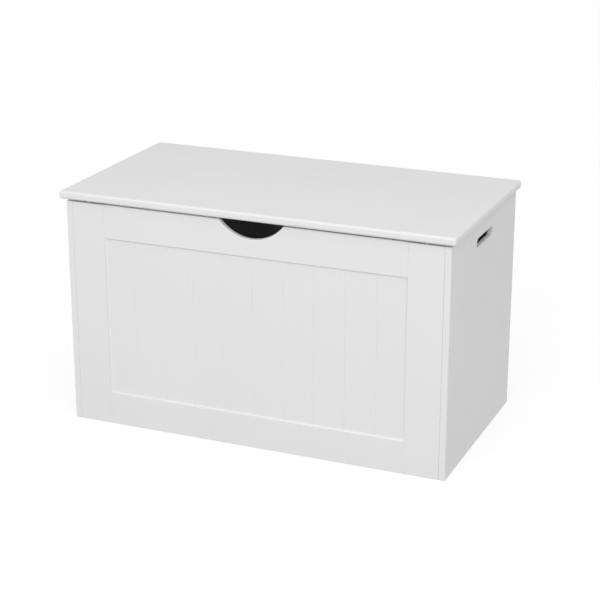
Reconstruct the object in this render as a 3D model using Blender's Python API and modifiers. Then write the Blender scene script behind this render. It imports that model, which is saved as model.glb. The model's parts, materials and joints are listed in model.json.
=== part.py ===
"""White wooden toy box with a hinged lid, held open by two gas struts.

Metres, +Z up. The origin is on the floor under the centre of the box, the front faces -Y and the lid
opens towards +Y. Each separate piece of the real box is one object.
"""
import math

import bmesh
import bpy
from mathutils import Vector

MM = 0.001
SIDES = ((-1, "left"), (1, "right"))

# Whole box
WIDTH = 760 * MM
DEPTH = 400 * MM
HEIGHT = 450 * MM
BOARD = 12 * MM
LID_THICKNESS = 15 * MM
LID_GAP = 5 * MM
OVERHANG = 10 * MM
FIT = 0.3 * MM
CUT_OVERRUN = 5 * MM
JOIN_OVERLAP = 1 * MM

# Carcass planes
HALF_WIDTH = WIDTH / 2 - OVERHANG
INSIDE_HALF = HALF_WIDTH - BOARD
FRONT = -DEPTH / 2 + OVERHANG
BACK = DEPTH / 2
LID_BOTTOM = HEIGHT - LID_THICKNESS
RIM = LID_BOTTOM - LID_GAP
FRONT_INSIDE = FRONT + BOARD
BACK_INSIDE = BACK - BOARD

# Front frame
OPENING_HALF = 293 * MM
OPENING_LOW = 62 * MM
OPENING_HIGH = 367 * MM
RECESS = 3.5 * MM
REBATE = 8 * MM
COVE_RADIUS = 6 * MM
COVE_WIDTH = math.sqrt(COVE_RADIUS ** 2 - (COVE_RADIUS - RECESS) ** 2)
COVE_LIP = 4.2 * MM
GROOVE_COUNT = 9
GROOVE_PITCH = 59 * MM
GROOVE_HALF_WIDTH = 1.5 * MM
GROOVE_DEPTH = 0.8 * MM
NOTCH_RADIUS = 77.5 * MM
NOTCH_DEPTH = 31 * MM
NOTCH_FILLET = 8 * MM

# Hand slot in each side panel
SLOT_LENGTH = 96 * MM
SLOT_HEIGHT = 16 * MM
SLOT_CORNER = 7.8 * MM
SLOT_CENTRE_Z = 393 * MM
SLOT_CENTRE_Y = (FRONT + BACK) / 2

# Floor of the box and the battens that carry it
CLEAT_HEIGHT = 20 * MM
CLEAT_WIDTH = 15 * MM
CLEAT_BOTTOM = 3 * MM
FLOOR_THICKNESS = 9 * MM
HINGE_RAIL_DEPTH = 18 * MM
HINGE_RAIL_HEIGHT = 40 * MM
HINGE_RAIL_HALF = 328 * MM

# Edge roundings
LID_CORNER = 6 * MM
LID_ROUND = 4.6 * MM
BOARD_ROUND = 0.6 * MM

# Hinges
HINGE_X = 230 * MM
HINGE_LENGTH = 50 * MM
KNUCKLES = 5
KNUCKLE_GAP = 0.35 * MM
KNUCKLE_RADIUS = 2.2 * MM
KNUCKLE_CLEARANCE = 0.4 * MM
PIN_RADIUS = 1.1 * MM
PIN_BORE = 1.45 * MM
PIN_HEAD_RADIUS = 1.9 * MM
PIN_HEAD_LENGTH = 1 * MM
PIN_HEAD_EDGE = 0.45 * MM
PIN_PROJECTION = 1.2 * MM
LEAF_THICKNESS = 1 * MM
LEAF_REACH = 25 * MM
LEAF_CORNER = 3 * MM
HINGE_Y = BACK - 2.5 * MM
HINGE_Z = RIM + LID_GAP / 2
HINGE_SCREW_X = 16 * MM
HINGE_SCREW_BACK = 17 * MM

# Screws, with countersunk heads
SCREW_RADIUS = 1.4 * MM
SCREW_HEAD_RADIUS = 2.9 * MM
SCREW_HEAD_DEPTH = 1.5 * MM
SCREW_TIP = 2.5 * MM
HEAD_ROOM = 1 * MM
CROSS_SIZE = 3.2 * MM
CROSS_WIDTH = 0.7 * MM
CROSS_DEPTH = 0.8 * MM
RAIL_SCREW_LENGTH = 16 * MM
LID_SCREW_LENGTH = 11 * MM
SIDE_SCREW_LENGTH = 9 * MM

# Gas struts: both pivots lie the same distance from the lid's hinge axis
STRUT_X = 345 * MM
STRUT_ARM = 140 * MM
STRUT_BASE_ANGLE = math.radians(76)
STRUT_LID_DROP = 9.5 * MM
TUBE_RADIUS = 7.5 * MM
TUBE_WALL = 1 * MM
TUBE_END_WALL = 1.5 * MM
TUBE_MOUTH_EDGE = 0.4 * MM
TUBE_START = 12 * MM
TUBE_END_MARGIN = 15 * MM
GUIDE_LENGTH = 10.5 * MM
GUIDE_SETBACK = 0.5 * MM
ROD_RADIUS = 3 * MM
ROD_START = 16 * MM
ROD_END_EDGE = 0.5 * MM
PISTON_LENGTH = 8 * MM
PISTON_SETBACK = 2 * MM
PISTON_CLEARANCE = 0.5 * MM
EYE_RADIUS = 6 * MM
EYE_WIDTH = 6 * MM
EYE_NECK_RADIUS = 4 * MM
EYE_NECK_LENGTH = 10.8 * MM
EYE_NECK_CLEARANCE = 0.7 * MM
PIVOT_RADIUS = 3 * MM
PIVOT_CLEARANCE = 0.35 * MM
PIVOT_HEAD_RADIUS = 4.6 * MM
PIVOT_HEAD_LENGTH = 1.6 * MM
PIVOT_OVERRUN = 0.6 * MM
BRACKET_THICKNESS = 2 * MM
BRACKET_OVERLAP = 0.5 * MM
SIDE_BRACKET_CORNER = 4 * MM
LID_BRACKET_CORNER = 2.5 * MM
SIDE_BRACKET_HALF_WIDTH = 8 * MM
SIDE_BRACKET_HALF_HEIGHT = 22 * MM
LID_BRACKET_HALF_LENGTH = 20 * MM
LID_BRACKET_INNER_X = 328 * MM
LID_BRACKET_TAB_X = 350 * MM
BRACKET_SCREW_OFFSET = 14 * MM
LID_BRACKET_SCREW_X = 335 * MM

# Rubber lid bumpers on the front corners
BUMPER_X = 325 * MM
BUMPER_RADIUS = 4 * MM

WHITE_PAINT = ("white_paint", (0.83, 0.83, 0.83), 0.38, 0.0)
RAW_PINE = ("raw_pine", (0.72, 0.54, 0.33), 0.65, 0.0)
NICKEL = ("nickel_plate", (0.62, 0.6, 0.57), 0.32, 1.0)
ZINC = ("zinc_plate", (0.66, 0.67, 0.68), 0.3, 1.0)
BLACK_METAL = ("black_tube", (0.02, 0.02, 0.022), 0.3, 0.5)
CHROME = ("chrome_rod", (0.75, 0.75, 0.76), 0.08, 1.0)
BLACK_PLASTIC = ("black_plastic", (0.025, 0.025, 0.027), 0.5, 0.0)
RUBBER = ("grey_rubber", (0.5, 0.5, 0.5), 0.75, 0.0)

for old in list(bpy.data.objects):
    bpy.data.objects.remove(old, do_unlink=True)

parts = bpy.data.collections.new("toy_box")
cutters = bpy.data.collections.new("toy_box_cutters")
bpy.context.scene.collection.children.link(parts)
bpy.context.scene.collection.children.link(cutters)


def make_material(name, look):
    """One Principled material for one piece."""
    _, colour, roughness, metallic = look
    material = bpy.data.materials.new(name)
    material.use_nodes = True
    shader = material.node_tree.nodes["Principled BSDF"]
    shader.inputs["Base Color"].default_value = (*colour, 1.0)
    shader.inputs["Roughness"].default_value = roughness
    shader.inputs["Metallic"].default_value = metallic
    return material


def add_object(name, mesh, look, location=(0, 0, 0), parent=None):
    """Put a mesh in the parts collection, or in the cutters if it has no look."""
    thing = bpy.data.objects.new(name, mesh)
    thing.location = location
    thing.parent = parent
    if look is None:
        cutters.objects.link(thing)
        thing.display_type = "WIRE"
        thing.hide_render = True
        return thing
    parts.objects.link(thing)
    if not mesh.materials:
        mesh.materials.append(None)
    thing.material_slots[0].link = "OBJECT"
    thing.material_slots[0].material = make_material(name + "_" + look[0], look)
    return thing


def add_axis(name, location, parent=None, rotation=(0, 0, 0)):
    """An empty on a joint's axis, which carries the pieces that turn about it."""
    axis = bpy.data.objects.new(name, None)
    axis.location = location
    axis.rotation_euler = rotation
    axis.empty_display_size = 0.02
    axis.parent = parent
    parts.objects.link(axis)
    return axis


def box(name, low, high, look=None, parent=None):
    """A box between two corners, with its origin at its centre."""
    low = Vector(low)
    high = Vector(high)
    size = high - low
    shape = bmesh.new()
    bmesh.ops.create_cube(shape, size=1)
    bmesh.ops.scale(shape, vec=size, verts=shape.verts)
    mesh = bpy.data.meshes.new(name)
    shape.to_mesh(mesh)
    shape.free()
    return add_object(name, mesh, look, (low + high) / 2, parent)


def cylinder(name, centre, radius, length, axis="Z", look=None, parent=None, sides=24):
    """A capped cylinder about one axis."""
    shape = bmesh.new()
    bmesh.ops.create_cone(
        shape, cap_ends=True, segments=sides, radius1=radius, radius2=radius, depth=length
    )
    mesh = bpy.data.meshes.new(name)
    shape.to_mesh(mesh)
    shape.free()
    mesh.shade_smooth()
    mesh.set_sharp_from_angle(angle=math.radians(40))
    thing = add_object(name, mesh, look, centre, parent)
    turn_to_axis(thing, axis)
    return thing


def turn_to_axis(thing, axis):
    """Turn a piece made about Z to another axis."""
    turns = {"X": (0, math.pi / 2, 0), "Y": (-math.pi / 2, 0, 0), "Z": (0, 0, 0), "-Z": (math.pi, 0, 0),
             "-X": (0, -math.pi / 2, 0)}
    thing.rotation_euler = turns[axis]


def turned(name, profile, closed, look=None, location=(0, 0, 0), parent=None, sides=24):
    """A turned piece: (radius, height) points from the top down the outer side."""
    mesh = bpy.data.meshes.new(name)
    points = [(radius, 0, height) for radius, height in profile]
    edges = [(i, i + 1) for i in range(len(points) - 1)]
    if closed:
        edges.append((len(points) - 1, 0))
    mesh.from_pydata(points, edges, [])
    thing = add_object(name, mesh, look, location, parent)
    screw = thing.modifiers.new("turn", "SCREW")
    screw.axis = "Z"
    screw.angle = 2 * math.pi
    screw.steps = sides
    screw.render_steps = sides
    screw.use_merge_vertices = True
    screw.merge_threshold = 0.00001
    screw.use_smooth_shade = False
    return thing


def combine(target, tool, operation="DIFFERENCE"):
    """Cut one piece with another, or join them."""
    boolean = target.modifiers.new(operation.lower(), "BOOLEAN")
    boolean.operation = operation
    boolean.object = tool
    boolean.solver = "EXACT"


def round_edges(target, width, segments=2, angle=40):
    """Round the edges sharper than an angle."""
    bevel = target.modifiers.new("round_edges", "BEVEL")
    bevel.width = width
    bevel.segments = segments
    bevel.limit_method = "ANGLE"
    bevel.angle_limit = math.radians(angle)
    bevel.harden_normals = False


def round_upright_corners(mesh, width, segments, axis):
    """Round the four edges of a box that run along one axis."""
    shape = bmesh.new()
    shape.from_mesh(mesh)
    corners = []
    for edge in shape.edges:
        along = edge.verts[1].co - edge.verts[0].co
        if abs(along[axis]) > 0.9 * along.length:
            corners.append(edge)
    bmesh.ops.bevel(shape, geom=corners, offset=width, segments=segments, profile=0.5, affect="EDGES")
    shape.to_mesh(mesh)
    shape.free()


def outline_block(name, outline, low_y, high_y):
    """A cutter from a flat outline of (x, z) points, run between two planes along Y."""
    curve = bpy.data.curves.new(name, "CURVE")
    curve.dimensions = "2D"
    curve.fill_mode = "BOTH"
    curve.extrude = (high_y - low_y) / 2
    spline = curve.splines.new("POLY")
    spline.points.add(len(outline) - 1)
    for point, (x, z) in zip(spline.points, outline):
        point.co = (x, z, 0, 1)
    spline.use_cyclic_u = True
    drawn = bpy.data.objects.new(name + "_curve", curve)
    drawn.location = (0, (low_y + high_y) / 2, 0)
    drawn.rotation_euler = (math.pi / 2, 0, 0)
    cutters.objects.link(drawn)
    bpy.context.view_layer.update()
    graph = bpy.context.evaluated_depsgraph_get()
    mesh = bpy.data.meshes.new_from_object(drawn.evaluated_get(graph))
    shape = bmesh.new()
    shape.from_mesh(mesh)
    bmesh.ops.remove_doubles(shape, verts=shape.verts, dist=0.00001)
    bmesh.ops.recalc_face_normals(shape, faces=shape.faces)
    shape.to_mesh(mesh)
    shape.free()
    block = add_object(name, mesh, None)
    block.matrix_world = drawn.matrix_world.copy()
    bpy.data.objects.remove(drawn, do_unlink=True)
    return block


def arc(centre, radius, start, end, steps):
    """Points along an arc in the XZ plane, both ends included, angles in radians."""
    points = []
    for i in range(steps + 1):
        angle = start + (end - start) * i / steps
        points.append((centre[0] + radius * math.cos(angle), centre[1] + radius * math.sin(angle)))
    return points


def notch_outline():
    """The finger notch: a shallow arc whose two top corners are rounded over."""
    arc_centre_z = RIM - NOTCH_DEPTH + NOTCH_RADIUS
    rise = arc_centre_z - RIM + NOTCH_FILLET
    fillet_x = math.sqrt((NOTCH_RADIUS + NOTCH_FILLET) ** 2 - rise ** 2)
    lean = math.atan2(rise, fillet_x)
    top = RIM + CUT_OVERRUN
    fillet_z = RIM - NOTCH_FILLET
    left = arc((-fillet_x, fillet_z), NOTCH_FILLET, math.pi / 2, lean, 5)
    middle = arc((0, arc_centre_z), NOTCH_RADIUS, math.pi + lean, 2 * math.pi - lean, 24)
    right = arc((fillet_x, fillet_z), NOTCH_FILLET, math.pi - lean, math.pi / 2, 5)
    return [(-fillet_x, top)] + left + middle[1:-1] + right + [(fillet_x, top)]


def screw_clearance(point, facing, length):
    """A cutter that clears a whole screw, its wide end just above the head's flat face."""
    head = SCREW_HEAD_RADIUS + FIT
    shank = SCREW_RADIUS + FIT
    end = -length - 2 * FIT
    cutter = turned(
        "screw_clearance",
        [(0, HEAD_ROOM), (head, HEAD_ROOM), (head, 0), (shank, -SCREW_HEAD_DEPTH), (shank, end), (0, end)],
        False, None, point, sides=12,
    )
    turn_to_axis(cutter, facing)
    return cutter


def screw(name, point, facing, length, look, parent=None):
    """A countersunk screw: its head's flat face at the point, its shank away from the facing side."""
    piece = turned(
        name,
        [(0, 0), (SCREW_HEAD_RADIUS, 0), (SCREW_RADIUS, -SCREW_HEAD_DEPTH),
         (SCREW_RADIUS, SCREW_TIP - length), (0, -length)],
        False, look, point, parent, sides=12,
    )
    turn_to_axis(piece, facing)
    for size_x, size_y in ((CROSS_SIZE, CROSS_WIDTH), (CROSS_WIDTH, CROSS_SIZE)):
        half = Vector((size_x / 2, size_y / 2, CROSS_DEPTH))
        combine(piece, box("cross_slot", -half, half, None, piece))


# ---------------------------------------------------------------- carcass boards



def cove_lip(run_low, run_high, edge, inward, along):
    """The hollow moulding along one edge of the opening, mitred at both ends, to join to its board."""
    back = edge - inward * JOIN_OVERLAP
    tip = edge + inward * COVE_LIP
    outline = [(run_low, back), (run_high, back), (run_high, edge), (run_high - COVE_LIP, tip),
               (run_low + COVE_LIP, tip), (run_low, edge)]
    hollow_y = FRONT + RECESS - COVE_RADIUS
    hollow = edge + inward * COVE_WIDTH
    if along == "X":
        centre = (0, hollow_y, hollow)
    else:
        outline = [(across, run) for run, across in outline]
        centre = (hollow, hollow_y, (run_low + run_high) / 2)
    lip = outline_block("cove_lip", outline, FRONT, FRONT_INSIDE)
    combine(lip, cylinder("cove_hollow", centre, COVE_RADIUS, WIDTH, along, sides=48))
    return lip


side_panels = {}
for side, prefix in SIDES:
    outer = side * HALF_WIDTH
    inner = side * INSIDE_HALF
    panel = box(
        prefix + "_side_panel", (min(outer, inner), FRONT, 0), (max(outer, inner), BACK, RIM), WHITE_PAINT
    )
    slot = box(
        "hand_slot",
        (min(outer, inner) - CUT_OVERRUN, SLOT_CENTRE_Y - SLOT_LENGTH / 2, SLOT_CENTRE_Z - SLOT_HEIGHT / 2),
        (max(outer, inner) + CUT_OVERRUN, SLOT_CENTRE_Y + SLOT_LENGTH / 2, SLOT_CENTRE_Z + SLOT_HEIGHT / 2),
    )
    round_upright_corners(slot.data, SLOT_CORNER, 8, 0)
    combine(panel, slot)
    round_edges(panel, BOARD_ROUND)
    side_panels[side] = panel

rebate_reach = COVE_WIDTH + CUT_OVERRUN
for side, prefix in SIDES:
    edge_a = side * (INSIDE_HALF - FIT)
    edge_b = side * OPENING_HALF
    stile = box(
        "front_" + prefix + "_stile",
        (min(edge_a, edge_b), FRONT, 0), (max(edge_a, edge_b), FRONT_INSIDE, RIM), WHITE_PAINT
    )
    round_edges(stile, BOARD_ROUND)
    combine(stile, cove_lip(OPENING_LOW, OPENING_HIGH, edge_b, -side, "Z"), "UNION")
    rebate_a = side * (OPENING_HALF + REBATE)
    rebate_b = side * (OPENING_HALF - rebate_reach)
    rebate = box(
        "stile_rebate",
        (min(rebate_a, rebate_b), FRONT + RECESS, OPENING_LOW - REBATE),
        (max(rebate_a, rebate_b), FRONT_INSIDE + CUT_OVERRUN, OPENING_HIGH + REBATE),
    )
    combine(stile, rebate)

rail_half = OPENING_HALF - FIT
for name, low_z, high_z, inward in (
    ("front_top_rail", OPENING_HIGH, RIM, -1), ("front_bottom_rail", 0, OPENING_LOW, 1)
):
    edge = low_z if inward < 0 else high_z
    rail = box(name, (-rail_half, FRONT, low_z), (rail_half, FRONT_INSIDE, high_z), WHITE_PAINT)
    if name == "front_top_rail":
        combine(rail, outline_block(
            "finger_notch", notch_outline(), FRONT - CUT_OVERRUN, FRONT_INSIDE + CUT_OVERRUN
        ))
    round_edges(rail, BOARD_ROUND)
    combine(rail, cove_lip(-rail_half, rail_half, edge, inward, "X"), "UNION")
    rebate_a = edge - inward * REBATE
    rebate_b = edge + inward * rebate_reach
    rebate = box(
        "rail_rebate",
        (-rail_half - CUT_OVERRUN, FRONT + RECESS, min(rebate_a, rebate_b)),
        (rail_half + CUT_OVERRUN, FRONT_INSIDE + CUT_OVERRUN, max(rebate_a, rebate_b)),
    )
    combine(rail, rebate)

panel_grow = REBATE - FIT
panel_face = FRONT + RECESS + FIT
grooved_panel = box(
    "front_grooved_panel",
    (-OPENING_HALF - panel_grow, panel_face, OPENING_LOW - panel_grow),
    (OPENING_HALF + panel_grow, FRONT_INSIDE, OPENING_HIGH + panel_grow),
    WHITE_PAINT,
)
for i in range(GROOVE_COUNT):
    x = (i - (GROOVE_COUNT - 1) / 2) * GROOVE_PITCH
    groove = cylinder(
        "groove", (x, panel_face, (OPENING_LOW + OPENING_HIGH) / 2), GROOVE_DEPTH, RIM, "Z", sides=4
    )
    groove.data.transform(
        ((GROOVE_HALF_WIDTH / GROOVE_DEPTH, 0, 0, 0), (0, 1, 0, 0), (0, 0, 1, 0), (0, 0, 0, 1))
    )
    combine(grooved_panel, groove)

back_panel = box(
    "back_panel", (-INSIDE_HALF + FIT, BACK_INSIDE, 0), (INSIDE_HALF - FIT, BACK, RIM), WHITE_PAINT
)
hinge_rail = box(
    "hinge_rail",
    (-HINGE_RAIL_HALF, BACK_INSIDE - FIT - HINGE_RAIL_DEPTH, RIM - HINGE_RAIL_HEIGHT),
    (HINGE_RAIL_HALF, BACK_INSIDE - FIT, RIM),
    WHITE_PAINT,
)
cleat_top = CLEAT_BOTTOM + CLEAT_HEIGHT
floor_half = INSIDE_HALF - 2 * FIT
bottom_panel = box(
    "bottom_panel",
    (-floor_half, FRONT_INSIDE + FIT, cleat_top + FIT),
    (floor_half, BACK_INSIDE - FIT, cleat_top + FIT + FLOOR_THICKNESS),
    WHITE_PAINT,
)
cleat_front = FRONT_INSIDE + FIT
cleat_back = BACK_INSIDE - FIT
cleats = []
for side, prefix in SIDES:
    edge_a = side * (INSIDE_HALF - FIT)
    edge_b = side * (INSIDE_HALF - FIT - CLEAT_WIDTH)
    cleats.append(box(
        prefix + "_floor_cleat",
        (min(edge_a, edge_b), cleat_front, CLEAT_BOTTOM), (max(edge_a, edge_b), cleat_back, cleat_top),
        RAW_PINE,
    ))
cleat_half = INSIDE_HALF - 2 * FIT - CLEAT_WIDTH
for end_name, low_y in (("front", cleat_front), ("rear", cleat_back - CLEAT_WIDTH)):
    cleats.append(box(
        end_name + "_floor_cleat",
        (-cleat_half, low_y, CLEAT_BOTTOM), (cleat_half, low_y + CLEAT_WIDTH, cleat_top), RAW_PINE
    ))
for board in cleats + [back_panel, hinge_rail, bottom_panel]:
    round_edges(board, BOARD_ROUND)

for side, prefix in SIDES:
    cylinder(
        prefix + "_lid_bumper",
        (side * BUMPER_X, FRONT + BOARD / 2, RIM + LID_GAP / 2),
        BUMPER_RADIUS, LID_GAP - 2 * FIT, "Z", RUBBER, sides=24,
    )

# ---------------------------------------------------------------- lid

lid_axis = add_axis("lid_hinge_axis", (0, HINGE_Y, HINGE_Z))
to_lid = -Vector(lid_axis.location)
lid = box(
    "lid",
    Vector((-WIDTH / 2, -DEPTH / 2, LID_BOTTOM)) + to_lid, Vector((WIDTH / 2, DEPTH / 2, HEIGHT)) + to_lid,
    WHITE_PAINT, lid_axis,
)
round_upright_corners(lid.data, LID_CORNER, 5, 2)
round_edges(lid, LID_ROUND, 4, 60)

# ---------------------------------------------------------------- hinges

leaf_low = HINGE_Z - KNUCKLE_RADIUS
leaf_high = HINGE_Z + KNUCKLE_RADIUS
leaf_edge_y = HINGE_Y - KNUCKLE_RADIUS - KNUCKLE_CLEARANCE
screw_y = HINGE_Y - HINGE_SCREW_BACK
knuckle_length = HINGE_LENGTH / KNUCKLES


def hinge_leaf(name, hinge_x, on_lid):
    """One leaf with its share of the knuckles; even knuckles belong to the frame, odd ones to the lid."""
    parent = lid_axis if on_lid else None
    shift = to_lid if on_lid else Vector((0, 0, 0))
    low_z = leaf_high - LEAF_THICKNESS if on_lid else leaf_low
    low = Vector((hinge_x - HINGE_LENGTH / 2, HINGE_Y - LEAF_REACH, low_z))
    high = Vector((hinge_x + HINGE_LENGTH / 2, leaf_edge_y, low_z + LEAF_THICKNESS))
    leaf = box(name, low + shift, high + shift, NICKEL, parent)
    round_upright_corners(leaf.data, LEAF_CORNER, 3, 2)
    for i in range(KNUCKLES):
        if (i % 2 == 1) != on_lid:
            continue
        start = hinge_x - HINGE_LENGTH / 2 + i * knuckle_length + KNUCKLE_GAP / 2
        end = start + knuckle_length - KNUCKLE_GAP
        tab = box(
            "leaf_tab",
            (start, leaf_edge_y - JOIN_OVERLAP, low_z), (end, HINGE_Y, low_z + LEAF_THICKNESS)
        )
        knuckle = cylinder(
            "knuckle", ((start + end) / 2, HINGE_Y, HINGE_Z), KNUCKLE_RADIUS, end - start, "X", sides=20
        )
        combine(leaf, tab, "UNION")
        combine(leaf, knuckle, "UNION")
    bore = cylinder("pin_bore", (hinge_x, HINGE_Y, HINGE_Z), PIN_BORE, HINGE_LENGTH * 1.2, "X", sides=16)
    combine(leaf, bore)
    return leaf


for side, prefix in SIDES:
    hinge_x = side * HINGE_X
    frame_leaf = hinge_leaf(prefix + "_hinge_frame_leaf", hinge_x, False)
    lid_leaf = hinge_leaf(prefix + "_hinge_lid_leaf", hinge_x, True)
    pin_half = HINGE_LENGTH / 2 + PIN_PROJECTION
    head_start = pin_half - PIN_HEAD_LENGTH
    head_edge = pin_half - PIN_HEAD_EDGE
    half_profile = [(0, pin_half), (PIN_HEAD_RADIUS - PIN_HEAD_EDGE, pin_half), (PIN_HEAD_RADIUS, head_edge),
                    (PIN_HEAD_RADIUS, head_start), (PIN_RADIUS, head_start)]
    pin = turned(
        prefix + "_hinge_pin",
        half_profile + [(radius, -height) for radius, height in reversed(half_profile)],
        False, NICKEL, (hinge_x, HINGE_Y, HINGE_Z), sides=16,
    )
    turn_to_axis(pin, "X")
    for place, offset in (("outer", side), ("inner", -side)):
        x = hinge_x + offset * HINGE_SCREW_X
        frame_point = Vector((x, screw_y, leaf_low + LEAF_THICKNESS))
        lid_point = Vector((x, screw_y, leaf_high - LEAF_THICKNESS))
        frame_clearance = screw_clearance(frame_point, "Z", RAIL_SCREW_LENGTH)
        lid_clearance = screw_clearance(lid_point, "-Z", LID_SCREW_LENGTH)
        for cut_piece in (frame_leaf, hinge_rail):
            combine(cut_piece, frame_clearance)
        for cut_piece in (lid_leaf, lid):
            combine(cut_piece, lid_clearance)
        screw(prefix + "_hinge_frame_screw_" + place, frame_point, "Z", RAIL_SCREW_LENGTH, ZINC)
        screw(
            prefix + "_hinge_lid_screw_" + place, lid_point + to_lid, "-Z", LID_SCREW_LENGTH, ZINC, lid_axis
        )

# ---------------------------------------------------------------- gas struts

base_pivot_y = HINGE_Y - STRUT_ARM * math.cos(STRUT_BASE_ANGLE)
base_pivot_z = HINGE_Z - STRUT_ARM * math.sin(STRUT_BASE_ANGLE)
lid_pivot_y = HINGE_Y - math.sqrt(STRUT_ARM ** 2 - STRUT_LID_DROP ** 2)
lid_pivot_z = HINGE_Z - STRUT_LID_DROP
strut_length = math.hypot(base_pivot_y - lid_pivot_y, lid_pivot_z - base_pivot_z)
strut_lean = math.atan2(base_pivot_y - lid_pivot_y, lid_pivot_z - base_pivot_z)
tube_end = strut_length - TUBE_END_MARGIN


def strut_eye(name, neck_end, look, parent):
    """An end fitting: an eye on the pivot pin, and a neck that starts clear of the pin's head."""
    eye = cylinder(name, (0, 0, 0), EYE_RADIUS, EYE_WIDTH, "X", look, parent)
    neck_start = math.copysign(PIVOT_HEAD_RADIUS + EYE_NECK_CLEARANCE, neck_end)
    middle = (neck_start + neck_end) / 2
    neck = cylinder("eye_neck", (0, 0, middle), EYE_NECK_RADIUS, abs(neck_end - neck_start), "Z",
                    None, parent, sides=16)
    combine(eye, neck, "UNION")
    bore = cylinder("eye_bore", (0, 0, 0), PIVOT_RADIUS + PIVOT_CLEARANCE, EYE_WIDTH * 2, "X",
                    None, parent, sides=20)
    combine(eye, bore)


def pivot_pin(target, side, pivot, root_x, shift):
    """Join a shouldered pin with a riveted head to a bracket."""
    head_x = STRUT_X - EYE_WIDTH / 2 - PIVOT_OVERRUN - PIVOT_HEAD_LENGTH
    shoulder_x = STRUT_X + EYE_WIDTH / 2 + PIVOT_OVERRUN
    y, z = pivot
    stages = (
        (PIVOT_RADIUS, head_x + BRACKET_OVERLAP, root_x),
        (PIVOT_HEAD_RADIUS, head_x, head_x + PIVOT_HEAD_LENGTH),
        (PIVOT_HEAD_RADIUS, shoulder_x, root_x),
    )
    for radius, start, end in stages:
        middle = Vector((side * (start + end) / 2, y, z)) + shift
        stage = cylinder("pivot_stage", middle, radius, end - start, "X", sides=16)
        stage.parent = target.parent
        combine(target, stage, "UNION")


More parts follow.
